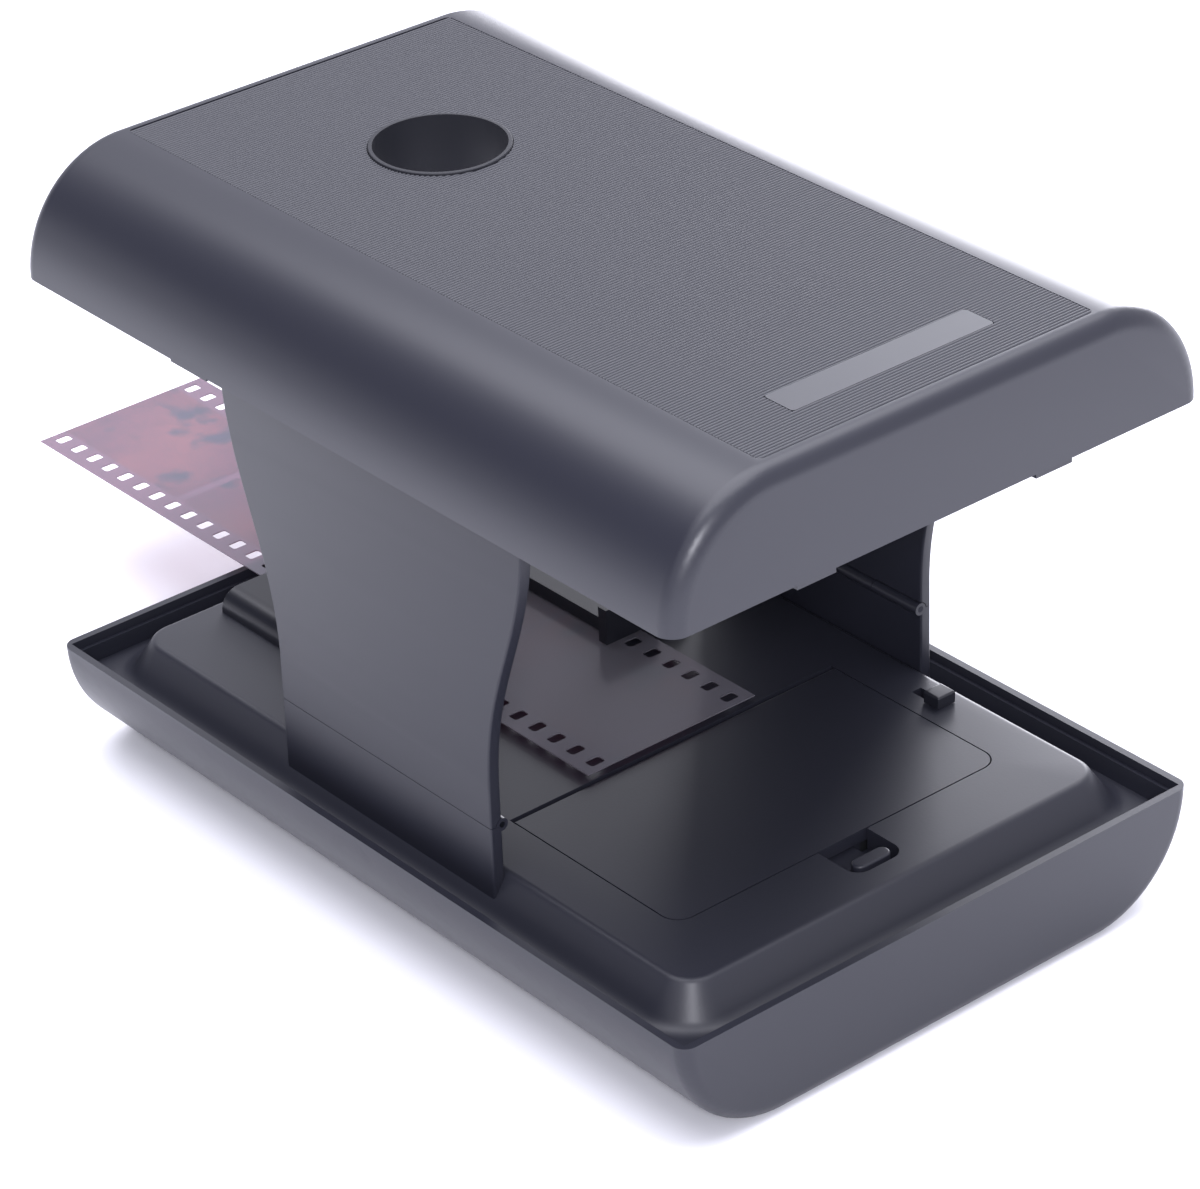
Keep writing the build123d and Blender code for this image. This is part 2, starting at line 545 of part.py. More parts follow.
# ---------------------------------------------------------------- battery door and latch
with BuildPart() as battery_door:
    extrude(door_outline(0), amount=DOOR_THICKNESS)
    box_between(
        (-DOOR_WIDTH / 2, DOOR_AXIS_Y, DOOR_UNDER_Z),
        (DOOR_WIDTH / 2, DOOR_FAR_Y, DECK_Z),
        mode=Mode.SUBTRACT,
    )
    rod_along_x(DOOR_THICKNESS / 2, -DOOR_WIDTH / 2, DOOR_WIDTH / 2, DOOR_AXIS_Y, DOOR_AXIS_Z)
    rod_along_x(DOOR_PIN_RADIUS, -DOOR_PIN_END_X, DOOR_PIN_END_X, DOOR_AXIS_Y, DOOR_AXIS_Z)
    box_between(
        (-GUIDE_WIDTH / 2, GUIDE_NEAR_Y, STEM_BOTTOM_Z - LATCH_SLIDE_FIT - GUIDE_FLOOR),
        (GUIDE_WIDTH / 2, GUIDE_FAR_Y, DOOR_UNDER_Z),
    )
    box_between(
        (-LATCH_STEM_WIDTH / 2 - LATCH_SLIDE_FIT, GUIDE_NEAR_Y, STEM_BOTTOM_Z - LATCH_SLIDE_FIT),
        (LATCH_STEM_WIDTH / 2 + LATCH_SLIDE_FIT, GUIDE_FAR_Y, STEM_TOP_Z + LATCH_SLIDE_FIT),
        mode=Mode.SUBTRACT,
    )
save(battery_door.part, "battery_door")

with BuildPart() as door_latch:
    with BuildSketch(Plane.XY.offset(STEM_BOTTOM_Z)):
        with Locations((0, (TAB_NEAR_Y + TAB_FAR_Y) / 2)):
            SlotOverall(LATCH_TAB_WIDTH, LATCH_TAB_DEPTH)
    extrude(amount=DECK_Z + LATCH_TAB_TOP - STEM_BOTTOM_Z)
    fillet(door_latch.edges().group_by(Axis.Z)[-1], radius=LATCH_TAB_ROUND)
    box_between(
        (-LATCH_STEM_WIDTH / 2, (TAB_NEAR_Y + TAB_FAR_Y) / 2, STEM_BOTTOM_Z),
        (LATCH_STEM_WIDTH / 2, DOOR_NEAR_Y + LATCH_STEM_INSIDE, STEM_TOP_Z),
    )
    box_between(
        (-LATCH_STEM_WIDTH / 4, TAB_NEAR_Y - LATCH_NOSE, STEM_BOTTOM_Z),
        (LATCH_STEM_WIDTH / 4, TAB_NEAR_Y + LATCH_NOSE, STEM_BOTTOM_Z + LATCH_NOSE_HEIGHT),
    )
save(door_latch.part, "door_latch")

# ---------------------------------------------------------------- battery box and cells
with BuildPart() as battery_box:
    box_between(
        (-BAY_HALF - BAY_WALL, BAY_NEAR_Y - BAY_WALL, FLOOR_Z),
        (BAY_HALF + BAY_WALL, BAY_FAR_Y + BAY_WALL, BAY_RIM_Z),
    )
    box_between(
        (-DOOR_WIDTH / 2 - BAY_RIM_LAP, DOOR_NEAR_Y - BAY_RIM_LAP, BAY_RIM_Z - BAY_RIM),
        (DOOR_WIDTH / 2 + BAY_RIM_LAP, DOOR_FAR_Y + BAY_RIM_LAP, BAY_RIM_Z),
    )
    box_between(
        (-BAY_HALF, BAY_NEAR_Y, FLOOR_Z + BAY_FLOOR),
        (BAY_HALF, BAY_FAR_Y, BAY_RIM_Z),
        mode=Mode.SUBTRACT,
    )
    box_between(
        (-RECESS_WIDTH / 2 - RECESS_WALL - SEAT_GAP, DOOR_NEAR_Y - BAY_RIM_LAP, BAY_RIM_Z - BAY_RIM),
        (RECESS_WIDTH / 2 + RECESS_WALL + SEAT_GAP, BAY_NEAR_Y - BAY_WALL, BAY_RIM_Z),
        mode=Mode.SUBTRACT,
    )
    box_between(
        (-LATCH_STEM_WIDTH / 2 - SEAT_GAP, BAY_NEAR_Y - BAY_WALL, STEM_BOTTOM_Z - SEAT_GAP),
        (LATCH_STEM_WIDTH / 2 + SEAT_GAP, BAY_NEAR_Y, BAY_RIM_Z),
        mode=Mode.SUBTRACT,
    )
save(battery_box.part, "battery_box")


def cell(y, nub_side):
    """AA cell along X, its raised end against the contact on that side."""
    tip_x = nub_side * (CONTACT_FACE - SEAT_GAP)
    shoulder_x = tip_x - nub_side * CELL_NUB
    with BuildPart() as aa_cell:
        rod_along_x(CELL_RADIUS - SEAT_GAP, shoulder_x, shoulder_x - nub_side * CELL_BODY, y, CELL_Z)
        ends = aa_cell.edges().filter_by(GeomType.CIRCLE)
        fillet(ends, radius=CELL_EDGE_ROUND)
        rod_along_x(CELL_NUB_RADIUS, shoulder_x - nub_side * CELL_NUB, tip_x, y, CELL_Z)
    return aa_cell.part


save(cell(CELL_YS[0], 1), "battery_1")
save(cell(CELL_YS[1], -1), "battery_2")

with BuildPart() as battery_contacts:
    for y in CELL_YS:
        box_between(
            (CONTACT_FACE, y - CONTACT_WIDTH / 2, CELL_Z - CONTACT_HEIGHT / 2),
            (BAY_HALF, y + CONTACT_WIDTH / 2, CELL_Z + CONTACT_HEIGHT / 2),
        )
    box_between(
        (-BAY_HALF, CELL_YS[0] - CONTACT_WIDTH / 2, CELL_Z - CONTACT_HEIGHT / 2),
        (-CONTACT_FACE, CELL_YS[1] + CONTACT_WIDTH / 2, CELL_Z + CONTACT_HEIGHT / 2),
    )
save(battery_contacts.part, "battery_contacts")

SPRING_FREE = 2 * CONTACT_FACE - CELL_NUB - CELL_BODY - 2 * SEAT_GAP
SPRING_RISE = SPRING_FREE - 2 * SPRING_WIRE_RADIUS - SEAT_GAP


def cell_spring(y, side):
    """Coil between a cell's flat end and the contact on that side."""
    start_x = side * (CONTACT_FACE - SPRING_WIRE_RADIUS - SEAT_GAP / 2)
    with BuildPart() as spring:
        with BuildLine() as path:
            Helix(
                SPRING_RISE / SPRING_TURNS,
                SPRING_RISE,
                SPRING_RADIUS,
                center=(start_x, y, CELL_Z),
                direction=(-side, 0, 0),
            )
        with BuildSketch(path.line ^ 0):
            Circle(SPRING_WIRE_RADIUS)
        sweep(path=path.line, is_frenet=True)
    return spring.part


with BuildPart() as battery_springs:
    add(cell_spring(CELL_YS[0], -1))
    add(cell_spring(CELL_YS[1], 1))
save(battery_springs.part, "battery_springs")

# ---------------------------------------------------------------- power switch
with BuildPart() as switch_body:
    box_between(
        (SWITCH_X - SWITCH_BODY_X / 2, SWITCH_Y - SWITCH_BODY_Y / 2, DECK_UNDER_Z - SWITCH_BODY_Z),
        (SWITCH_X + SWITCH_BODY_X / 2, SWITCH_Y + SWITCH_BODY_Y / 2, DECK_UNDER_Z),
    )
    box_between(
        (SWITCH_X - SLOT_HALF_X, SLOT_NEAR_Y, DECK_Z - STEM_DEPTH),
        (SWITCH_X + SLOT_HALF_X, SLOT_FAR_Y, DECK_UNDER_Z),
        mode=Mode.SUBTRACT,
    )
save(switch_body.part, "switch_body")

with BuildPart() as switch_knob:
    with Locations((SWITCH_X, SWITCH_NEAR_Y, DECK_Z + KNOB_FLOAT)):
        Box(KNOB_X, KNOB_Y, KNOB_HEIGHT, align=ON_BASE)
    fillet(switch_knob.edges().group_by(Axis.Z)[-1], radius=KNOB_ROUND)
    with Locations((SWITCH_X, SWITCH_NEAR_Y, DECK_Z + KNOB_FLOAT)):
        Box(STEM_X, STEM_Y, STEM_DEPTH, align=(Align.CENTER, Align.CENTER, Align.MAX))
save(switch_knob.part, "switch_knob")

# ---------------------------------------------------------------- lamp
with BuildPart() as light_box:
    with Locations((0, LIGHT_Y, LIGHT_BOX_FLOOR_Z)):
        Box(
            2 * (LIGHT_INNER_X + LIGHT_BOX_WALL),
            LIGHT_INNER_LENGTH + 2 * LIGHT_BOX_WALL,
            DECK_UNDER_Z - LIGHT_BOX_FLOOR_Z,
            align=ON_BASE,
        )
    with Locations((0, LIGHT_Y, DECK_UNDER_Z)):
        Box(
            2 * (LIGHT_INNER_X + LIGHT_BOX_WALL + LIGHT_BOX_RIM),
            LIGHT_INNER_LENGTH + 2 * (LIGHT_BOX_WALL + LIGHT_BOX_RIM),
            LIGHT_BOX_WALL,
            align=(Align.CENTER, Align.CENTER, Align.MAX),
        )
    with Locations((0, LIGHT_Y, LIGHT_FLOOR_TOP_Z)):
        Box(
            2 * LIGHT_INNER_X,
            LIGHT_INNER_LENGTH,
            DECK_UNDER_Z - LIGHT_FLOOR_TOP_Z,
            align=ON_BASE,
            mode=Mode.SUBTRACT,
        )
save(light_box.part, "light_box")

with BuildPart() as led_board:
    with Locations((0, LIGHT_Y, LIGHT_FLOOR_TOP_Z)):
        Box(
            2 * (LIGHT_INNER_X - BOARD_FIT),
            LIGHT_INNER_LENGTH - 2 * BOARD_FIT,
            BOARD_THICKNESS,
            align=ON_BASE,
        )
save(led_board.part, "led_board")

with BuildPart() as leds:
    with Locations((0, LIGHT_Y, BOARD_TOP_Z)):
        with GridLocations(LED_PITCH_X, LED_PITCH_Y, LED_COLUMNS, LED_ROWS):
            Box(LED_X, LED_Y, LED_Z, align=ON_BASE)
save(leds.part, "leds")

with BuildPart() as light_diffuser:
    with Locations((0, LIGHT_Y, DECK_UNDER_Z)):
        Box(
            2 * (LIGHT_HALF_X - DIFFUSER_FIT),
            LIGHT_LENGTH - 2 * DIFFUSER_FIT,
            DIFFUSER_TOP_Z - DECK_UNDER_Z,
            align=ON_BASE,
        )
save(light_diffuser.part, "light_diffuser")

# ---------------------------------------------------------------- film gate and film
with BuildPart() as film_gate_cover:
    box_between((-GATE_HALF_X, GATE_NEAR_Y, DECK_Z), (GATE_HALF_X, GATE_FAR_Y, GATE_TOP_Z))
    upper = film_gate_cover.edges().filter_by(Axis.Y).group_by(Axis.Z)[-1]
    fillet(upper, radius=GATE_ROUND)
    box_between(
        (GATE_POST_INNER_X, GATE_NEAR_Y, FILM_CEILING_Z),
        (GATE_POST_INNER_X + GATE_POST_WIDTH, GATE_NEAR_Y + GATE_POST_THICKNESS, GATE_POST_TOP_Z),
    )
    box_between(
        (-CHANNEL_HALF, GATE_NEAR_Y, DECK_Z),
        (CHANNEL_HALF, GATE_FAR_Y, FILM_CEILING_Z),
        mode=Mode.SUBTRACT,
    )
    box_between(
        (-PICTURE_WIDTH / 2, GATE_NEAR_Y + GATE_POST_THICKNESS, FILM_CEILING_Z),
        (PICTURE_WIDTH / 2, GATE_BAR_Y, GATE_TOP_Z),
        mode=Mode.SUBTRACT,
    )
    box_between(
        (-PICTURE_WIDTH / 2, GATE_NEAR_Y, FILM_CEILING_Z),
        (GATE_POST_INNER_X, GATE_NEAR_Y + GATE_POST_THICKNESS, GATE_TOP_Z),
        mode=Mode.SUBTRACT,
    )
save(film_gate_cover.part, "film_gate_cover")

PERFORATIONS = int(FILM_LENGTH / PERFORATION_PITCH)
with BuildPart() as film_strip:
    with BuildSketch(Plane.XY.offset(FILM_Z)):
        with Locations((0, FILM_NEAR_Y + FILM_LENGTH / 2)):
            Rectangle(FILM_WIDTH, FILM_LENGTH)
            with GridLocations(PERFORATION_ROWS, PERFORATION_PITCH, 2, PERFORATIONS):
                RectangleRounded(
                    PERFORATION_WIDTH,
                    PERFORATION_LENGTH,
                    PERFORATION_CORNER,
                    mode=Mode.SUBTRACT,
                )
    extrude(amount=FILM_THICKNESS)
save(film_strip.part, "film_strip")


# ---------------------------------------------------------------- side panels
def knuckle_ends(index):
    """The two ends of a hinge knuckle, with half of the running gap at each inner end."""
    start = PANEL_Y - PANEL_FOOT_HALF + index * KNUCKLE_LENGTH
    low = start + (KNUCKLE_GAP / 2 if index > 0 else 0)
    high = start + KNUCKLE_LENGTH - (KNUCKLE_GAP / 2 if index < KNUCKLE_COUNT - 1 else 0)
    return low, high


def add_knuckles(x, fold_z, first):
    """Every second knuckle in the current part, room for the others and the bore for the pin."""
    for index in range(KNUCKLE_COUNT):
        if index % 2 != first:
            start = PANEL_Y - PANEL_FOOT_HALF + index * KNUCKLE_LENGTH
            rod_along_y(
                KNUCKLE_RADIUS + KNUCKLE_GAP,
                x,
                start,
                start + KNUCKLE_LENGTH,
                fold_z,
                mode=Mode.SUBTRACT,
            )
    for index in range(first, KNUCKLE_COUNT, 2):
        low, high = knuckle_ends(index)
        rod_along_y(KNUCKLE_RADIUS, x, low, high, fold_z)
    rod_along_y(
        HINGE_PIN_RADIUS + HINGE_PIN_FIT,
        x,
        PANEL_Y - PANEL_FOOT_HALF,
        PANEL_Y + PANEL_FOOT_HALF,
        fold_z,
        mode=Mode.SUBTRACT,
    )


def panel_foot(side, fold_z):
    """Upstand on the deck's slope with tenons through the deck and half of the hinge on top."""
    top = fold_z - SEAT_GAP / 2
    x = side * PANEL_X
    with BuildPart() as foot:
        with BuildSketch(Plane.XZ.offset(-PANEL_Y)):
            Polygon(
                (side * PANEL_INNER_X, slope_height(PANEL_INNER_X)),
                (side * PANEL_OUTER_X, slope_height(PANEL_OUTER_X)),
                (side * PANEL_OUTER_X, top),
                (side * PANEL_INNER_X, top),
                align=None,
            )
        extrude(amount=PANEL_FOOT_HALF, both=True)
        fillet(foot.edges().filter_by(Axis.Z), radius=PANEL_EDGE_ROUND)
        for y in TENON_YS:
            box_between(
                (x - TENON_THICKNESS / 2, y - TENON_LENGTH / 2, TENON_BOTTOM_Z),
                (x + TENON_THICKNESS / 2, y + TENON_LENGTH / 2, DECK_Z),
            )
        add_knuckles(side * PANEL_INNER_X, fold_z, 0)
    return foot.part


def side_panel(side, fold_z):
    """Panel that widens upwards in an S-curve, with the other half of the hinge at its lower edge."""
    bottom = fold_z + SEAT_GAP / 2
    x = side * PANEL_X
    bend = (PANEL_CURVE_HIGH_Z - PANEL_CURVE_LOW_Z) * PANEL_CURVE_PULL
    with BuildPart() as panel:
        with BuildSketch(Plane.YZ.offset(x)):
            with BuildLine():
                for end in (-1, 1):
                    foot_y = PANEL_Y + end * PANEL_FOOT_HALF
                    head_y = PANEL_Y + end * PANEL_HEAD_HALF
                    Line((foot_y, bottom), (foot_y, PANEL_CURVE_LOW_Z))
                    Bezier(
                        (foot_y, PANEL_CURVE_LOW_Z),
                        (foot_y, PANEL_CURVE_LOW_Z + bend),
                        (head_y, PANEL_CURVE_HIGH_Z - bend),
                        (head_y, PANEL_CURVE_HIGH_Z),
                    )
                    Line((head_y, PANEL_CURVE_HIGH_Z), (head_y, PANEL_TOP_Z))
                Line((PANEL_Y - PANEL_FOOT_HALF, bottom), (PANEL_Y + PANEL_FOOT_HALF, bottom))
                Line((PANEL_Y - PANEL_HEAD_HALF, PANEL_TOP_Z), (PANEL_Y + PANEL_HEAD_HALF, PANEL_TOP_Z))
            make_face()
        extrude(amount=PANEL_HALF, both=True)
        rim = panel.edges().filter_by(lambda e: abs(abs(e.center().X) - PANEL_X) > PANEL_HALF / 2)
        sides = rim.filter_by(lambda e: PANEL_TOP_Z > e.center().Z + 0.01 > bottom + 0.02)
        fillet(sides, radius=PANEL_EDGE_ROUND)
        add_knuckles(side * PANEL_INNER_X, fold_z, 1)
    return panel.part


def hinge_pin(side, fold_z):
    """Pin through all knuckles of one hinge."""
    with BuildPart() as pin:
        rod_along_y(
            HINGE_PIN_RADIUS,
            side * PANEL_INNER_X,
            PANEL_Y - PANEL_FOOT_HALF,
            PANEL_Y + PANEL_FOOT_HALF,
            fold_z,
        )
    return pin.part


for hand, side, fold_z in (("left", -1, LEFT_FOLD_Z), ("right", 1, RIGHT_FOLD_Z)):
    save(panel_foot(side, fold_z), f"{hand}_panel_foot")
    save(side_panel(side, fold_z), f"{hand}_panel")
    save(hinge_pin(side, fold_z), f"{hand}_hinge_pin")

# ---------------------------------------------------------------- tray
with BuildPart() as tray_shell:
    extrude(d_section(TRAY_EDGE_Z, TRAY_TOP_Z, 0), amount=HALF_LENGTH, both=True)
    fillet(end_edges(tray_shell.part, TRAY_EDGE_Z), radius=TRAY_END_ROUND)
    extrude(
        d_section(TRAY_EDGE_Z, TRAY_TOP_Z, CASE_WALL),
        amount=HALF_LENGTH - CASE_WALL,
        both=True,
        mode=Mode.SUBTRACT,
    )
    with BuildSketch(Plane.XY.offset(TRAY_TOP_Z - MAT_THICKNESS)):
        RectangleRounded(2 * (MAT_HALF_X + SEAT_GAP), 2 * (MAT_HALF_Y + SEAT_GAP), MAT_CORNER + SEAT_GAP)
    extrude(amount=MAT_THICKNESS, mode=Mode.SUBTRACT)
    with BuildSketch(Plane.XY.offset(TRAY_TOP_Z - PLATE_DEPTH)):
        with Locations((0, PLATE_Y)):
            RectangleRounded(
                PLATE_LENGTH + 2 * SEAT_GAP,
                PLATE_WIDTH + 2 * SEAT_GAP,
                PLATE_CORNER + SEAT_GAP,
            )
    extrude(amount=PLATE_DEPTH, mode=Mode.SUBTRACT)
    with Locations((0, CAMERA_Y, TRAY_TOP_Z)):
        Cylinder(RING_OUTER + SEAT_GAP, 4 * CASE_WALL, mode=Mode.SUBTRACT)
    inner_y = HALF_LENGTH - CASE_WALL
    inner_x = HALF_WIDTH - CASE_WALL
    for end in (-1, 1):
        for x in (-END_TAB_X, END_TAB_X):
            for low_z, high_z, reach in (
                (TRAY_EDGE_Z - TAB_DROP, TRAY_EDGE_Z, -TAB_FIT),
                (TRAY_EDGE_Z, TRAY_EDGE_Z + TAB_ROOT, SEAT_GAP),
            ):
                box_between(
                    (x - TAB_WIDTH / 2, end * (inner_y - TAB_FIT - TAB_THICKNESS), low_z),
                    (x + TAB_WIDTH / 2, end * (inner_y + reach), high_z),
                )
        for low_z, high_z, reach in (
            (TRAY_EDGE_Z - TAB_DROP, TRAY_EDGE_Z, -TAB_FIT),
            (TRAY_EDGE_Z, TRAY_EDGE_Z + TAB_ROOT, SEAT_GAP),
        ):
            box_between(
                (end * (inner_x - TAB_FIT - TAB_THICKNESS), SIDE_TAB_Y - SIDE_TAB_WIDTH / 2, low_z),
                (end * (inner_x + reach), SIDE_TAB_Y + SIDE_TAB_WIDTH / 2, high_z),
            )
save(tray_shell.part, "tray_shell")

with BuildPart() as grip_mat:
    with BuildSketch(Plane.XY.offset(TRAY_TOP_Z - MAT_THICKNESS)):
        RectangleRounded(2 * MAT_HALF_X, 2 * MAT_HALF_Y, MAT_CORNER)
        with Locations((0, CAMERA_Y)):
            Circle(RING_OUTER + SEAT_GAP, mode=Mode.SUBTRACT)
        with Locations((0, PLATE_Y)):
            RectangleRounded(
                PLATE_LENGTH + 2 * SEAT_GAP,
                PLATE_WIDTH + 2 * SEAT_GAP,
                PLATE_CORNER + SEAT_GAP,
                mode=Mode.SUBTRACT,
            )
    extrude(amount=MAT_THICKNESS)
save(grip_mat.part, "grip_mat")

with BuildPart() as camera_hole_ring:
    with Locations((0, CAMERA_Y, TRAY_TOP_Z - RING_BELOW)):
        Cylinder(RING_OUTER, RING_BELOW + RING_ABOVE, align=ON_BASE)
    fillet(camera_hole_ring.edges().group_by(Axis.Z)[-1], radius=RING_ROUND)
    with Locations((0, CAMERA_Y, TRAY_TOP_Z)):
        Cylinder(CAMERA_HOLE_RADIUS, 3 * RING_BELOW, mode=Mode.SUBTRACT)
save(camera_hole_ring.part, "camera_hole_ring")

with BuildPart() as blank_plate:
    with BuildSketch(Plane.XY.offset(TRAY_TOP_Z - PLATE_DEPTH)):
        with Locations((0, PLATE_Y)):
            RectangleRounded(PLATE_LENGTH, PLATE_WIDTH, PLATE_CORNER)
    extrude(amount=PLATE_DEPTH)
save(blank_plate.part, "blank_plate")


def seat_rail(side):
    """Rail inside the tray that stands on a panel's top, with a lip outside it and two end stops."""
    slot_outer_x = PANEL_OUTER_X + RAIL_SIDE_FIT
    with BuildPart() as rail:
        box_between(
            (side * RAIL_INNER_X, PANEL_Y - RAIL_HALF, RAIL_LIP_Z),
            (side * RAIL_OUTER_X, PANEL_Y + RAIL_HALF, TRAY_TOP_Z),
        )
        box_between(
            (side * RAIL_INNER_X, PANEL_Y - RAIL_HALF + RAIL_END, RAIL_LIP_Z),
            (side * slot_outer_x, PANEL_Y + RAIL_HALF - RAIL_END, PANEL_TOP_Z + SEAT_CLEARANCE),
            mode=Mode.SUBTRACT,
        )
        extrude(
            d_section(TRAY_EDGE_Z, TRAY_TOP_Z, CASE_WALL + SEAT_GAP),
            amount=HALF_LENGTH,
            both=True,
            mode=Mode.INTERSECT,
        )
    return rail.part


save(seat_rail(-1), "left_seat_rail")
save(seat_rail(1), "right_seat_rail")
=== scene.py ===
"""Folding film negative scanner: finishes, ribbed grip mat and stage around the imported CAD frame.

Lengths in the mesh functions are millimetres and are turned to metres when a mesh is filled.
"""

import json
import math

import bpy
import numpy as np
from mathutils import Matrix, Vector

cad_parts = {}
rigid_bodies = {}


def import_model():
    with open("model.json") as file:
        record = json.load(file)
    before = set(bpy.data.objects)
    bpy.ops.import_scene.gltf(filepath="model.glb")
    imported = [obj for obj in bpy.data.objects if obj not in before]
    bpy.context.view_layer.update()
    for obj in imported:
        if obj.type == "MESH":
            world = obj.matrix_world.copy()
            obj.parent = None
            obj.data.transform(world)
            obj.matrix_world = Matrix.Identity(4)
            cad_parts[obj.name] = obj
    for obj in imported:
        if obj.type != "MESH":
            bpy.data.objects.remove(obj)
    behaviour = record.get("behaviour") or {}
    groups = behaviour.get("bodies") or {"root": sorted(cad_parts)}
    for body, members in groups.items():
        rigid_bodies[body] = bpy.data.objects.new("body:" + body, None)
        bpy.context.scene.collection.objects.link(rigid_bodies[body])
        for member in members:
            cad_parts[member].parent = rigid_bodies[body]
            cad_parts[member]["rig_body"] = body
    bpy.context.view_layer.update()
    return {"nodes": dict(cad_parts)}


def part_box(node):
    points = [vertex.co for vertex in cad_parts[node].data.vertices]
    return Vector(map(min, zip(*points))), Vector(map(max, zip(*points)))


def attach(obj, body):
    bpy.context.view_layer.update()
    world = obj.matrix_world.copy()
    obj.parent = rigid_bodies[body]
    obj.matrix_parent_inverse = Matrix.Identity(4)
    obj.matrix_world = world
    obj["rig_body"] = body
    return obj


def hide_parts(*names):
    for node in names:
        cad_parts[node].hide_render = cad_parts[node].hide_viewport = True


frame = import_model()

bl_info = {
    "name": "Folding film scanner",
    "version": (1, 0, 0),
    "blender": (4, 5, 0),
    "location": "View3D > Sidebar > Film scanner",
    "description": "Finishes, ribbed mat, film picture and stage for a folding film scanner",
    "category": "Object",
}

MM = 0.001
IMAGE = (1200, 1189)  # width and height of the photograph in pixels
WELD = 1e-6  # corners that round to the same step of this, in metres, become one
BEVEL_SEGMENTS = 2

# Edge rounding in metres, where it differs from the user's.
PANEL_ROUND = 0.05 * MM
GATE_ROUND = 0.08 * MM
TRIM_ROUND = 0.06 * MM
FINE_PARTS = 3  # deck, door and latch get the user's rounding divided by this

# Grip mat: points per rib, power that flattens a rib's top, and the gap round ring and plate in mm.
RIB_STEPS = 8
RIB_POWER = 0.6
MAT_GAP = 0.1

# Film: picture and pitch in mm, and in metres the shift that sets where a picture begins along Y.
PICTURE_WIDTH = 24
PICTURE_LENGTH = 36
PICTURE_PITCH = 38
PICTURE_SHIFT = 1.0005
CLOUD_COLOURS = ("A67488", "C78E90")
CLOUD_SPAN = (0.35, 0.65)
CLOUD_SCALE = 55.0
MARK_COLOUR = "6C6480"
MARK_SPAN = (0.56, 0.66)
MARK_SCALE = 110.0
# Grey base colour of the film's glossy layer: painted reflection of the surroundings, added to the layer's
# real highlights.
PAINTED_REFLECTION_GREY = "9A9AA4"
GLOSS_SHARE = 0.4

# Lamps: name, place, point aimed at and side in metres, power in watts.
LAMPS = (
    # Wide and overhead: overexposes the paper, whose light then fills the upright faces.
    ("top lamp", (0.15, 0.20, 1.5), (0.05, 0.05, 0), 1.8, 42),
    # Small and near the camera: gives the bright streaks on the two near corners.
    ("front lamp", (-0.62, -0.80, 0.66), (0, 0, 0.06), 0.16, 7),
    # Low on the right: puts the long highlight on the tray's far flank.
    ("side lamp", (1.3, 0.9, 0.35), (0, 0, 0.08), 0.7, 16),
)
LAMP_COLOUR = (0.92, 0.92, 1.0)
SKY_COLOUR = (0.90, 0.90, 1.0, 1.0)
SKY_STRENGTH = 0.95
FLOOR_DROP = 0.05 * MM
# The black card. A camera farther out than about 1.1 m behind on the left has it in its way.
FLAG_CORNERS = ((-1.3, 0.2, 0.3), (-0.3, 1.3, 0.3), (-0.3, 1.3, 1.3), (-1.3, 0.2, 1.3))

# Camera fitted to the photograph: metres, radians, and pixels of the photograph.
CAMERA_PLACE = (-0.4104726, -0.5068489, 0.4213961)
CAMERA_YAW = 0.6925582
CAMERA_PITCH = 0.5032982
CAMERA_ROLL = -0.0327838
FOCAL_PIXELS = 4742.618
CENTRE_PIXELS = (648.388, 480.763)
SENSOR_WIDTH = 36  # mm
CLIP_START = 0.01
CLIP_END = 50


def linear(code):
    """Linear RGB of an sRGB hex colour: the curve c/12.92 up to 0.04045, ((c+0.055)/1.055)^2.4 above."""
    parts = [int(code[i:i + 2], 16) / 255 for i in (0, 2, 4)]
    return tuple(c / 12.92 if c <= 0.04045 else ((c + 0.055) / 1.055) ** 2.4 for c in parts)


# ---------------------------------------------------------------- sizes and colours a user would change
class ScannerSizes(bpy.types.PropertyGroup):
    rib_pitch: bpy.props.FloatProperty(
        name="Rib pitch", description="Distance from one rib of the grip mat to the next",
        default=0.66 * MM, min=0.3 * MM, max=3 * MM, unit="LENGTH", precision=5)
    rib_height: bpy.props.FloatProperty(
        name="Rib height", description="Depth of the grooves between the ribs",
        default=0.2 * MM, min=0.02 * MM, max=0.5 * MM, unit="LENGTH", precision=5)
    edge_round: bpy.props.FloatProperty(
        name="Edge round", description="Small rounding on the moulded edges",
        default=0.22 * MM, min=0.02 * MM, max=1 * MM, unit="LENGTH", precision=5)
    floor_half: bpy.props.FloatProperty(
        name="Floor half width", description="Half the width of the studio floor",
        default=6.0, min=0.5, max=20, unit="LENGTH")


class ScannerColours(bpy.types.PropertyGroup):
    case: bpy.props.FloatVectorProperty(
        name="Case", description="Moulded case halves and deck",
        default=linear("25262F"), subtype="COLOR", min=0, max=1)
    panel: bpy.props.FloatVectorProperty(
        name="Panels", description="Folding side panels",
        default=linear("22232C"), subtype="COLOR", min=0, max=1)
    mat: bpy.props.FloatVectorProperty(
        name="Grip mat", description="Ribbed rubber on the tray",
        default=linear("303138"), subtype="COLOR", min=0, max=1)
    gate: bpy.props.FloatVectorProperty(
        name="Gate", description="Film gate, knob and camera ring",
        default=linear("1E1F26"), subtype="COLOR", min=0, max=1)
    film_base: bpy.props.FloatVectorProperty(
        name="Film base", description="Tinted base of the developed film",
        default=linear("B592A2"), subtype="COLOR", min=0, max=1)
    cell: bpy.props.FloatVectorProperty(
        name="Cells", description="Sleeve of the battery cells",
        default=linear("3C5A78"), subtype="COLOR", min=0, max=1)
    floor: bpy.props.FloatVectorProperty(
        name="Floor", description="Studio floor and backdrop",
        default=linear("F6F6FA"), subtype="COLOR", min=0, max=1)


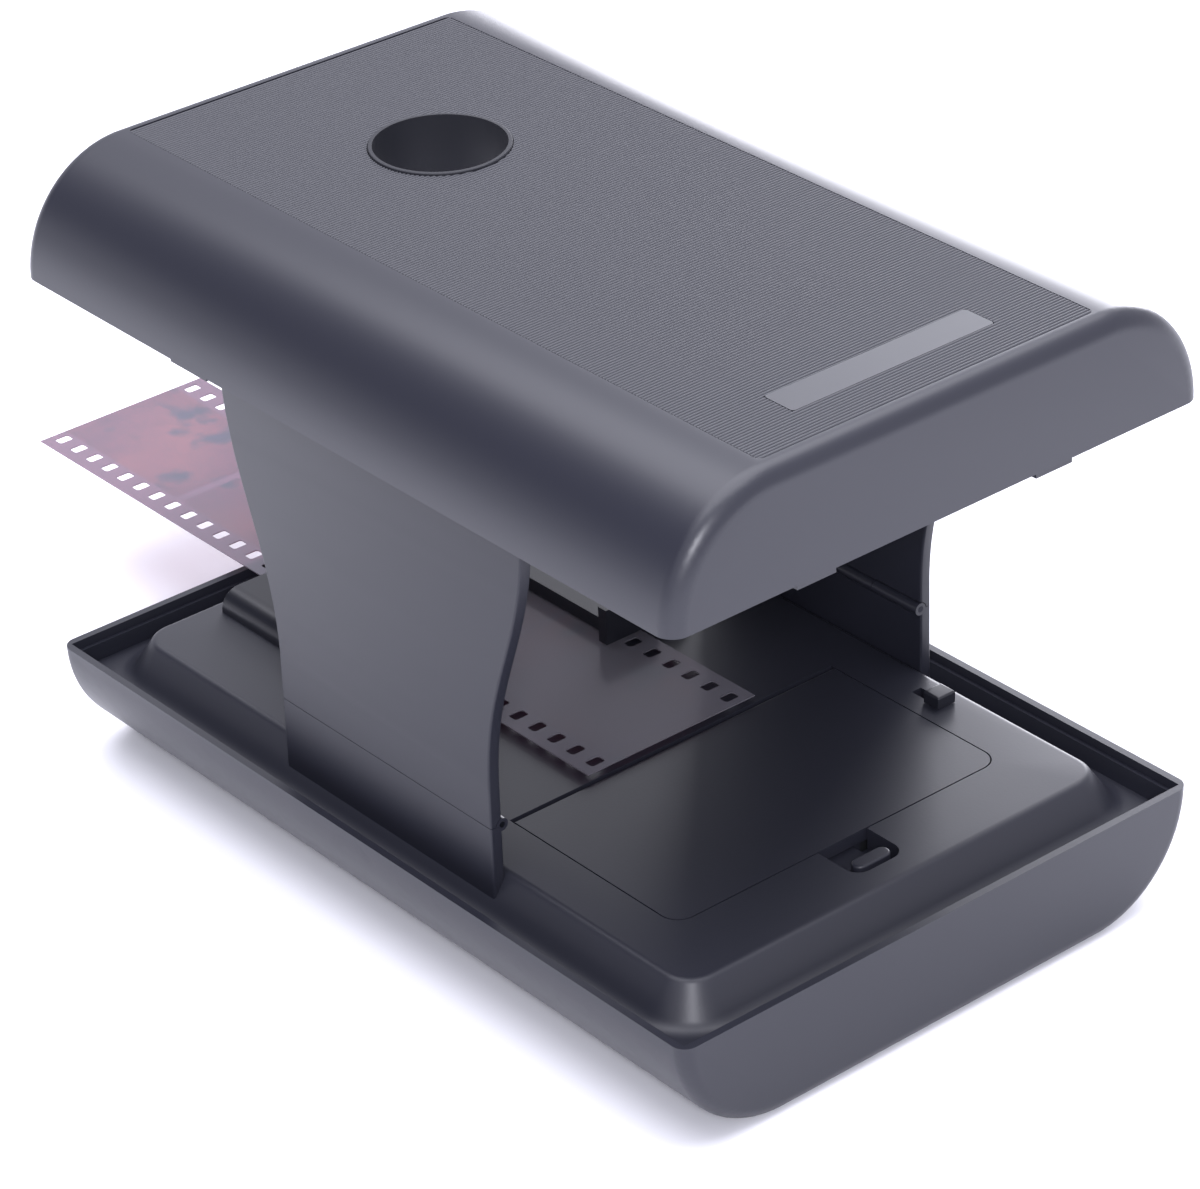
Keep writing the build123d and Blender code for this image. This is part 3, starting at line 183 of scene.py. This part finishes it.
# ---------------------------------------------------------------- meshes
def fill(name, points, faces, body, smooth_angle=None):
    """Object at the origin from points in mm and faces, riding on a body."""
    mesh = bpy.data.meshes.new(name)
    mesh.from_pydata((np.asarray(points, float) * MM).tolist(), [], np.asarray(faces).tolist())
    mesh.validate()
    mesh.update()
    if smooth_angle is not None:
        mesh.shade_smooth()
        mesh.set_sharp_from_angle(angle=math.radians(smooth_angle))
    piece = bpy.data.objects.new(name, mesh)
    bpy.context.scene.collection.objects.link(piece)
    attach(piece, body)
    return piece


def prism_along_y(low_x, high_x, top_z, bottom_z, y):
    """Closed bar of rectangular section carried along Y.

    Row j holds the corners (low_x, top), (high_x, top), (high_x, bottom), (low_x, bottom) at y_j,
    so the mesh is the grid row by corner, closed round the corners and capped at both ends.
    """
    rows = len(y)
    corners = np.empty((rows, 4, 3))
    corners[:, 0] = np.stack([low_x, y, top_z], 1)
    corners[:, 1] = np.stack([high_x, y, top_z], 1)
    corners[:, 2] = np.stack([high_x, y, np.full(rows, bottom_z)], 1)
    corners[:, 3] = np.stack([low_x, y, np.full(rows, bottom_z)], 1)
    j, k = np.meshgrid(np.arange(rows - 1), np.arange(4), indexing="ij")
    n = (k + 1) % 4
    quads = np.stack([j * 4 + k, j * 4 + n, (j + 1) * 4 + n, (j + 1) * 4 + k], -1).reshape(-1, 4)
    ends = np.array([[3, 2, 1, 0], [0, 1, 2, 3]])
    ends[1] += (rows - 1) * 4
    return corners.reshape(-1, 3), np.vstack([quads, ends])


def welded(node, round_by, angle=32):
    """Copy of a CAD node with shared corners and a small rounding on its sharp edges.

    Corners closer than a micron become one, faces are re-pointed to them, and those that lost
    a corner are dropped; the Bevel then rounds edges sharper than the angle.
    """
    source = frame["nodes"][node]
    mesh = source.data
    co = np.empty(len(mesh.vertices) * 3)
    mesh.vertices.foreach_get("co", co)
    loops = np.empty(len(mesh.loops), int)
    mesh.loops.foreach_get("vertex_index", loops)
    keys = np.round(co.reshape(-1, 3) / WELD).astype(int)
    _, first, back = np.unique(keys, axis=0, return_index=True, return_inverse=True)
    tri = back.reshape(-1)[loops].reshape(-1, 3)
    tri = tri[(tri[:, 0] != tri[:, 1]) & (tri[:, 1] != tri[:, 2]) & (tri[:, 0] != tri[:, 2])]
    piece = fill(node + "_finished", co.reshape(-1, 3)[first] / MM, tri, source["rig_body"], angle)
    bevel = piece.modifiers.new("edge round", "BEVEL")
    bevel.width = round_by
    bevel.segments = BEVEL_SEGMENTS
    bevel.limit_method = "ANGLE"
    bevel.angle_limit = math.radians(angle)
    bevel.harden_normals = True
    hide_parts(node)
    return piece


# ---------------------------------------------------------------- materials
def material(name):
    """New material with an empty node tree and its output."""
    made = bpy.data.materials.new(name)
    made.use_nodes = True
    made.node_tree.nodes.clear()
    return made, made.node_tree.nodes.new("ShaderNodeOutputMaterial")


def node(made, kind, settings=None, **inputs):
    """Adds a node with its settings, and sets each named input to a value or links it to a socket.

    An input is named with _ for each space, or as _ and its number where names repeat.
    """
    new = made.node_tree.nodes.new(kind)
    for key, value in (settings or {}).items():
        setattr(new, key, value)
    for key, value in inputs.items():
        numbered = key[0] == "_" and key[1:].isdigit()
        socket = new.inputs[int(key[1:])] if numbered else new.inputs[key.replace("_", " ")]
        if isinstance(value, bpy.types.NodeSocket):
            made.node_tree.links.new(value, socket)
        else:
            socket.default_value = value
    return new


def rgba(colour):
    return (*colour[:3], 1.0)


def ramp(made, factor, span, colours):
    """Colour ramp from the first linear colour to the second over a span of its factor."""
    new = node(made, "ShaderNodeValToRGB", None, Fac=factor)
    for element, position, colour in zip(new.color_ramp.elements, span, colours):
        element.position = position
        element.color = rgba(colour)
    return new


def moulded(name, colour, roughness, grain_mm=0.0, depth_mm=0.0, specular=0.5):
    """Moulded plastic or rubber: one colour, and a fine grain from the mould's texture."""
    made, output = material(name)
    shader = node(
        made, "ShaderNodeBsdfPrincipled", None,
        Base_Color=rgba(colour), Roughness=roughness, IOR=1.5, Specular_IOR_Level=specular)
    if grain_mm:
        place = node(made, "ShaderNodeTexCoord")
        noise = node(
            made, "ShaderNodeTexNoise", None,
            Vector=place.outputs["Object"], Scale=1 / (grain_mm * MM), Detail=2.0, Roughness=0.5)
        bump = node(
            made, "ShaderNodeBump", None,
            Strength=1.0, Distance=depth_mm * MM, Height=noise.outputs["Fac"])
        made.node_tree.links.new(bump.outputs["Normal"], shader.inputs["Normal"])
    made.node_tree.links.new(shader.outputs["BSDF"], output.inputs["Surface"])
    return made


def metal(name, colour, roughness):
    """Bare or plated metal: full metallic, its colour and a satin roughness."""
    made, output = material(name)
    shader = node(
        made, "ShaderNodeBsdfPrincipled", None,
        Base_Color=rgba(colour), Metallic=1.0, Roughness=roughness)
    made.node_tree.links.new(shader.outputs["BSDF"], output.inputs["Surface"])
    return made


def wear(piece, made):
    """Gives a piece its one material."""
    piece.data.materials.clear()
    piece.data.materials.append(made)


def dress(names, made):
    """The same for CAD nodes that stay as they are."""
    for name in names:
        wear(frame["nodes"][name], made)


# ---------------------------------------------------------------- operators
class SCANNER_OT_case(bpy.types.Operator):
    """Case halves, deck, battery door and latch in textured moulded ABS"""
    bl_idname = "scanner.case"
    bl_label = "Case"

    def execute(self, context):
        colours, sizes = context.scene.scanner_colours, context.scene.scanner_sizes
        # Injection-moulded ABS from a spark-eroded mould: a soft satin sheen with no clear reflections.
        abs_satin = moulded(
            "ABS, injection moulded, satin", colours.case, roughness=0.36, grain_mm=0.35, depth_mm=0.004)
        # The same ABS from a coarser mould face: matt, with a fine visible grain.
        abs_matt = moulded(
            "ABS, injection moulded, fine grain", colours.case, roughness=0.42, grain_mm=0.5, depth_mm=0.008)
        for name in ("base_shell", "tray_shell"):
            wear(welded(name, sizes.edge_round), abs_satin)
        for name in ("base_deck", "battery_door", "door_latch"):
            wear(welded(name, sizes.edge_round / FINE_PARTS), abs_matt)
        return {"FINISHED"}


class SCANNER_OT_panels(bpy.types.Operator):
    """Side panels and their feet in moulded ABS"""
    bl_idname = "scanner.panels"
    bl_label = "Side panels"

    def execute(self, context):
        # ABS panels from a lightly textured mould: even satin, slightly duller than the case.
        abs_panel = moulded(
            "ABS, moulded panel, satin", context.scene.scanner_colours.panel,
            roughness=0.4, grain_mm=0.3, depth_mm=0.004, specular=0.4)
        for side in ("left", "right"):
            for name in (side + "_panel", side + "_panel_foot"):
                wear(welded(name, PANEL_ROUND), abs_panel)
        return {"FINISHED"}


class SCANNER_OT_gate(bpy.types.Operator):
    """Film gate cover, switch knob, camera hole ring and the plain plate on the tray"""
    bl_idname = "scanner.gate"
    bl_label = "Film gate and trim"

    def execute(self, context):
        colours = context.scene.scanner_colours
        # ABS from a polished mould: darker, with a soft gloss.
        abs_gloss = moulded(
            "ABS, moulded, semi-gloss", colours.gate, roughness=0.3, grain_mm=0.4, depth_mm=0.003)
        for name in ("film_gate_cover", "switch_knob"):
            wear(welded(name, GATE_ROUND), abs_gloss)
        # Matt black sleeve, spark-eroded like a lens hood so that it throws no light at the camera.
        hood = moulded(
            "ABS, black, fine grain", colours.gate,
            roughness=0.6, grain_mm=0.3, depth_mm=0.006, specular=0.35)
        wear(welded("camera_hole_ring", TRIM_ROUND), hood)
        # Satin plate in the mat's colour: it stands out from the ribs by its smoothness alone.
        trim = moulded("ABS, moulded trim, satin", colours.mat, roughness=0.4)
        wear(welded("blank_plate", TRIM_ROUND), trim)
        return {"FINISHED"}


class SCANNER_OT_grip_mat(bpy.types.Operator):
    """Grip mat with fine ribs across the tray, open round the camera hole and the plate"""
    bl_idname = "scanner.grip_mat"
    bl_label = "Grip mat"

    def execute(self, context):
        sizes = context.scene.scanner_sizes
        low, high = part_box("grip_mat")
        ring_low, ring_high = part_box("camera_hole_ring")
        plate_low, plate_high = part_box("blank_plate")
        half = high.x / MM
        pitch = sizes.rib_pitch / MM
        groove = sizes.rib_height / MM
        ribs = int((high.y - low.y) / MM // pitch)
        margin = ((high.y - low.y) / MM - ribs * pitch) / 2
        # Rib profile: z = top - groove * (1 - |sin(pi u)|^power), u rising by 1 over each rib.
        u = np.arange(ribs * RIB_STEPS + 1) / RIB_STEPS
        y = low.y / MM + margin + u * pitch
        z = high.z / MM - groove * (1 - np.abs(np.sin(np.pi * u)) ** RIB_POWER)
        y = np.concatenate([[low.y / MM], y, [high.y / MM]])
        z = np.concatenate([[z[0]], z, [z[0]]])
        ring_y = (ring_low.y + ring_high.y) / 2 / MM
        ring_r = (ring_high.x - ring_low.x) / 2 / MM + MAT_GAP
        gap = np.sqrt(np.clip(ring_r ** 2 - (y - ring_y) ** 2, 0, None))
        edges = np.array([plate_low.y, plate_high.y]) / MM + (-MAT_GAP, MAT_GAP)
        plate_half = plate_high.x / MM + MAT_GAP
        inside = (y > edges[0]) & (y < edges[1])
        gap = np.where(inside, plate_half, gap)
        # Mat moulded in soft rubber: matt between the ribs, with a faint sheen along each rib.
        rubber = moulded(
            "Silicone rubber, moulded ribs", context.scene.scanner_colours.mat, roughness=0.5)
        bottom = low.z / MM
        pieces = (
            ("grip_mat_left", np.full(len(y), -half), -gap),
            ("grip_mat_right", gap, np.full(len(y), half)),
        )
        for name, from_x, to_x in pieces:
            points, faces = prism_along_y(from_x, to_x, z, bottom, y)
            mat = fill(name, points, faces, "tray")
            wear(mat, rubber)
            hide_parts("grip_mat")
        return {"FINISHED"}


class SCANNER_OT_film(bpy.types.Operator):
    """Developed film strip: tinted clear base with a plain row of cloudy pictures"""
    bl_idname = "scanner.film"
    bl_label = "Film strip"

    def execute(self, context):
        base = context.scene.scanner_colours.film_base
        # Cast polyester film base with dyed gelatine: clear and tinted, with a smooth gloss; the grey of the
        # glossy layer is painted reflection.
        made, output = material("Polyester film, developed, glossy")
        place = node(made, "ShaderNodeTexCoord")
        split = node(made, "ShaderNodeSeparateXYZ", None, Vector=place.outputs["Object"])

        def math_node(kind, a, b=0.0):
            return node(made, "ShaderNodeMath", {"operation": kind}, _0=a, _1=b).outputs[0]

        # The mask is 1 inside a picture, which lies mid-way as turn runs from 0 to 1 along each pitch.
        shifted = math_node("ADD", split.outputs["Y"], PICTURE_SHIFT)
        turn = math_node("FRACT", math_node("DIVIDE", shifted, PICTURE_PITCH * MM))
        off_centre = math_node("ABSOLUTE", math_node("SUBTRACT", turn, 0.5))
        along = math_node("LESS_THAN", off_centre, PICTURE_LENGTH / 2 / PICTURE_PITCH)
        off_axis = math_node("ABSOLUTE", split.outputs["X"])
        across = math_node("LESS_THAN", off_axis, PICTURE_WIDTH / 2 * MM)
        inside = math_node("MULTIPLY", along, across)
        cloud = node(
            made, "ShaderNodeTexNoise", None,
            Vector=place.outputs["Object"], Scale=CLOUD_SCALE, Detail=4.0)
        blotch = node(
            made, "ShaderNodeTexNoise", None,
            Vector=place.outputs["Object"], Scale=MARK_SCALE, Detail=6.0)
        cloud_colours = [linear(code) for code in CLOUD_COLOURS]
        warm = ramp(made, cloud.outputs["Fac"], CLOUD_SPAN, cloud_colours)
        marks = ramp(made, blotch.outputs["Fac"], MARK_SPAN, ((0, 0, 0), (1, 1, 1)))
        picture = node(
            made, "ShaderNodeMix", {"data_type": "RGBA"},
            _0=marks.outputs["Color"], _6=warm.outputs["Color"], _7=rgba(linear(MARK_COLOUR)))
        tint = node(
            made, "ShaderNodeMix", {"data_type": "RGBA"},
            _0=inside, _6=rgba(base), _7=picture.outputs[2])
        clear = node(made, "ShaderNodeBsdfTransparent", None, Color=tint.outputs[2])
        # Glossy layer: real highlights from its roughness, and a grey base colour that is painted
        # reflection.
        gloss = node(
            made, "ShaderNodeBsdfPrincipled", None,
            Base_Color=rgba(linear(PAINTED_REFLECTION_GREY)), Roughness=0.16, IOR=1.55)
        both = node(
            made, "ShaderNodeMixShader", None,
            Fac=GLOSS_SHARE, _1=clear.outputs[0], _2=gloss.outputs[0])
        made.node_tree.links.new(both.outputs[0], output.inputs["Surface"])
        dress(["film_strip"], made)
        return {"FINISHED"}


class SCANNER_OT_lamp(bpy.types.Operator):
    """Opal diffuser, white light box, board and lamps below the film"""
    bl_idname = "scanner.lamp"
    bl_label = "Lamp"

    def execute(self, context):
        # Extruded opal acrylic: milky and even, light soaks in and comes back softly.
        opal, output = material("Acrylic, opal, extruded")
        shader = node(
            opal, "ShaderNodeBsdfPrincipled", None,
            Base_Color=rgba(linear("E9EAEA")), Roughness=0.25, IOR=1.49,
            Subsurface_Weight=0.4, Subsurface_Scale=0.001)
        opal.node_tree.links.new(shader.outputs["BSDF"], output.inputs["Surface"])
        dress(["light_diffuser"], opal)
        # White moulded polycarbonate: bright and slightly glossy, to throw light upwards.
        white = moulded("Polycarbonate, white, moulded", linear("E6E6E2"), roughness=0.35)
        dress(["light_box", "leds"], white)
        # White solder mask over glass fibre: smooth, with a low sheen.
        board = moulded("Circuit board, white solder mask", linear("DADCD8"), roughness=0.4)
        dress(["led_board"], board)
        return {"FINISHED"}


class SCANNER_OT_batteries(bpy.types.Operator):
    """Battery box and cells, switch body and seat rails"""
    bl_idname = "scanner.batteries"
    bl_label = "Batteries and inner parts"

    def execute(self, context):
        # Black ABS from a plain mould face: dark satin.
        inner = moulded("ABS, black, moulded", linear("26272A"), roughness=0.45)
        dress(["battery_box", "switch_body", "left_seat_rail", "right_seat_rail"], inner)
        # Plain shrink sleeve over steel, without print: smooth and glossy.
        sleeve = moulded("PVC shrink sleeve, glossy", context.scene.scanner_colours.cell, roughness=0.25)
        dress(["battery_1", "battery_2"], sleeve)
        return {"FINISHED"}


class SCANNER_OT_hardware(bpy.types.Operator):
    """Screws, hinge pins, battery springs and contacts, and the rubber pads"""
    bl_idname = "scanner.hardware"
    bl_label = "Hardware"

    def execute(self, context):
        # Nickel-plated steel, rolled or drawn: warm grey with a satin shine.
        nickel = metal("Steel, nickel plated", linear("C9C6BE"), roughness=0.32)
        dress(["battery_contacts", "battery_springs", "base_screws"], nickel)
        # Drawn steel, black zinc plated: dark satin, so that the pins' ends don't flash by the panels.
        black_zinc = metal("Steel, black zinc plated", linear("2A2B32"), roughness=0.45)
        dress(["left_hinge_pin", "right_hinge_pin"], black_zinc)
        # Die-cut foam rubber: matt black.
        foam = moulded(
            "Foam rubber, die cut", linear("232427"), roughness=0.85, grain_mm=0.3, depth_mm=0.02)
        dress(["base_pads"], foam)
        return {"FINISHED"}


def soft_box(name, place, aim, size, watts):
    """Square area lamp at a place, turned towards a point, both in metres."""
    lamp = bpy.data.lights.new(name, "AREA")
    lamp.shape = "SQUARE"
    lamp.size = size
    lamp.energy = watts
    lamp.color = LAMP_COLOUR
    holder = bpy.data.objects.new(name, lamp)
    holder.location = place
    holder.rotation_euler = (Vector(aim) - Vector(place)).to_track_quat("-Z", "Y").to_euler()
    bpy.context.scene.collection.objects.link(holder)


class SCANNER_OT_stage(bpy.types.Operator):
    """Pale studio floor, soft lamps, sky light, a black card and the camera"""
    bl_idname = "scanner.stage"
    bl_label = "Stage"

    def execute(self, context):
        scene = context.scene
        half = scene.scanner_sizes.floor_half
        mesh = bpy.data.meshes.new("floor")
        mesh.from_pydata(
            [(-half, -half, 0), (half, -half, 0), (half, half, 0), (-half, half, 0)], [], [(0, 1, 2, 3)])
        floor = bpy.data.objects.new("floor", mesh)
        floor.location.z = -FLOOR_DROP
        scene.collection.objects.link(floor)
        # Seamless studio paper: matt and nearly white.
        paper = moulded("Backdrop paper, matt", scene.scanner_colours.floor, roughness=0.9, specular=0.1)
        mesh.materials.append(paper)

        world = bpy.data.worlds.new("studio")
        world.use_nodes = True
        world.node_tree.nodes.clear()
        output = world.node_tree.nodes.new("ShaderNodeOutputWorld")
        path = node(world, "ShaderNodeLightPath")
        light = node(world, "ShaderNodeBackground", None, Color=SKY_COLOUR, Strength=SKY_STRENGTH)
        seen_colour = rgba(scene.scanner_colours.floor)
        seen = node(world, "ShaderNodeBackground", None, Color=seen_colour, Strength=1.0)
        both = node(
            world, "ShaderNodeMixShader", None,
            Fac=path.outputs["Is Camera Ray"], _1=light.outputs[0], _2=seen.outputs[0])
        world.node_tree.links.new(both.outputs[0], output.inputs["Surface"])
        scene.world = world

        for lamp in LAMPS:
            soft_box(*lamp)

        # A black card behind on the left leaves a dark band along the tray's near flank.
        flag_mesh = bpy.data.meshes.new("flag")
        flag_mesh.from_pydata(FLAG_CORNERS, [], [(0, 1, 2, 3)])
        # Black card: matt, so that it gives next to no light back.
        card = moulded("Black card, matt", linear("0A0A0C"), roughness=0.9, specular=0.1)
        flag_mesh.materials.append(card)
        flag = bpy.data.objects.new("flag", flag_mesh)
        scene.collection.objects.link(flag)

        # Camera in the photograph's place: turned by yaw, tilted down by pitch, then rolled.
        level = math.cos(CAMERA_PITCH)
        ahead = Vector((
            math.sin(CAMERA_YAW) * level,
            math.cos(CAMERA_YAW) * level,
            -math.sin(CAMERA_PITCH)))
        right = Vector((math.cos(CAMERA_YAW), -math.sin(CAMERA_YAW), 0))
        up = right.cross(ahead)
        side = math.cos(CAMERA_ROLL) * right + math.sin(CAMERA_ROLL) * up
        top = math.cos(CAMERA_ROLL) * up - math.sin(CAMERA_ROLL) * right
        lens = bpy.data.cameras.new("camera")
        lens.sensor_fit = "HORIZONTAL"
        lens.sensor_width = SENSOR_WIDTH
        lens.lens = FOCAL_PIXELS / IMAGE[0] * SENSOR_WIDTH
        lens.shift_x = (IMAGE[0] / 2 - CENTRE_PIXELS[0]) / IMAGE[0]
        lens.shift_y = (CENTRE_PIXELS[1] - IMAGE[1] / 2) / IMAGE[0]
        lens.clip_start = CLIP_START
        lens.clip_end = CLIP_END
        camera = bpy.data.objects.new("camera", lens)
        camera.matrix_world = Matrix((
            (side.x, top.x, -ahead.x, CAMERA_PLACE[0]),
            (side.y, top.y, -ahead.y, CAMERA_PLACE[1]),
            (side.z, top.z, -ahead.z, CAMERA_PLACE[2]),
            (0, 0, 0, 1)))
        scene.collection.objects.link(camera)
        scene.camera = camera
        scene.view_settings.view_transform = "Standard"
        return {"FINISHED"}


class SCANNER_PT_panel(bpy.types.Panel):
    bl_idname = "SCANNER_PT_panel"
    bl_label = "Film scanner"
    bl_space_type = "VIEW_3D"
    bl_region_type = "UI"
    bl_category = "Film scanner"

    def draw(self, context):
        layout = self.layout
        for group in (context.scene.scanner_sizes, context.scene.scanner_colours):
            box = layout.box()
            for name in type(group).__annotations__:
                box.prop(group, name)
        for operator in OPERATORS:
            layout.operator(operator.bl_idname)


OPERATORS = (
    SCANNER_OT_case,
    SCANNER_OT_panels,
    SCANNER_OT_gate,
    SCANNER_OT_grip_mat,
    SCANNER_OT_film,
    SCANNER_OT_lamp,
    SCANNER_OT_batteries,
    SCANNER_OT_hardware,
    SCANNER_OT_stage,
)
CLASSES = (ScannerSizes, ScannerColours, *OPERATORS, SCANNER_PT_panel)


def register():
    for item in CLASSES:
        bpy.utils.register_class(item)
    bpy.types.Scene.scanner_sizes = bpy.props.PointerProperty(type=ScannerSizes)
    bpy.types.Scene.scanner_colours = bpy.props.PointerProperty(type=ScannerColours)


def unregister():
    del bpy.types.Scene.scanner_colours
    del bpy.types.Scene.scanner_sizes
    for item in reversed(CLASSES):
        bpy.utils.unregister_class(item)


def main():
    register()
    for operator in OPERATORS:
        family, name = operator.bl_idname.split(".")
        getattr(getattr(bpy.ops, family), name)()


if __name__ == "__main__":
    main()
